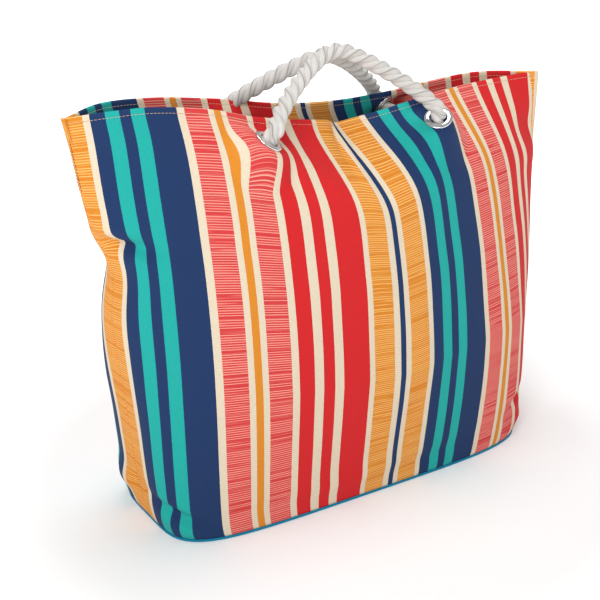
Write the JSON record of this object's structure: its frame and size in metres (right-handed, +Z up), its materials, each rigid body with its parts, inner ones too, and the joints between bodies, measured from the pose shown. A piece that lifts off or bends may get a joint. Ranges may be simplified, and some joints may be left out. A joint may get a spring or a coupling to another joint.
{
  "type": "beach bag",
  "caption": "Open-topped canvas tote with a flat base, a lined shell, eyelets near the rim and rope handles that swing outward.",
  "frame": {"origin": "on the surface the bag stands on, under the middle of its bounding box", "axes": "+X along the bag from its left end to its right end, -Y out of the front panel, +Z up"},
  "size_m": [0.518, 0.1786, 0.4262],
  "materials": {
    "front_panel": "striped printed canvas",
    "back_panel": "striped printed canvas",
    "front_facing": "striped printed canvas",
    "back_facing": "striped printed canvas",
    "front_lining": "plain woven lining",
    "back_lining": "plain woven lining",
    "base_lining": "plain woven lining",
    "base_panel": "blue canvas",
    "base_piping": "blue piping cord",
    "base_board": "matt sheet",
    "eyelet_front_left": "polished chrome plate",
    "washer_front_left": "polished chrome plate",
    "eyelet_front_right": "polished chrome plate",
    "washer_front_right": "polished chrome plate",
    "eyelet_back_left": "polished chrome plate",
    "washer_back_left": "polished chrome plate",
    "eyelet_back_right": "polished chrome plate",
    "washer_back_right": "polished chrome plate",
    "knot_front_left": "soft twisted cotton",
    "knot_front_right": "soft twisted cotton",
    "knot_back_left": "soft twisted cotton",
    "knot_back_right": "soft twisted cotton",
    "front_handle": "soft twisted cotton",
    "back_handle": "soft twisted cotton"
  },
  "bodies": {
    "bag": {"front_panel": "front_panel", "back_panel": "back_panel", "front_facing": "front_facing", "back_facing": "back_facing", "front_lining": "front_lining", "back_lining": "back_lining", "base_lining": "base_lining", "base_panel": "base_panel", "base_piping": "base_piping", "base_board": "base_board", "eyelet_front_left": "eyelet_front_left", "washer_front_left": "washer_front_left", "eyelet_front_right": "eyelet_front_right", "washer_front_right": "washer_front_right", "eyelet_back_left": "eyelet_back_left", "washer_back_left": "washer_back_left", "eyelet_back_right": "eyelet_back_right", "washer_back_right": "washer_back_right", "knot_front_left": "knot_front_left", "knot_front_right": "knot_front_right", "knot_back_left": "knot_back_left", "knot_back_right": "knot_back_right"},
    "front_handle": {"front_handle": "front_handle"},
    "back_handle": {"back_handle": "back_handle"}
  },
  "joints": [
    {"name": "front_handle_swing", "type": "hinge", "parent": "bag", "child": "front_handle", "pos_m": [0, -0.04889, 0.36343], "axis": [1, 0, 0], "range_deg": [0, 150]},
    {"name": "back_handle_swing", "type": "hinge", "parent": "bag", "child": "back_handle", "pos_m": [0, 0.05308, 0.36075], "axis": [-1, 0, 0], "range_deg": [0, 150]}
  ]
}
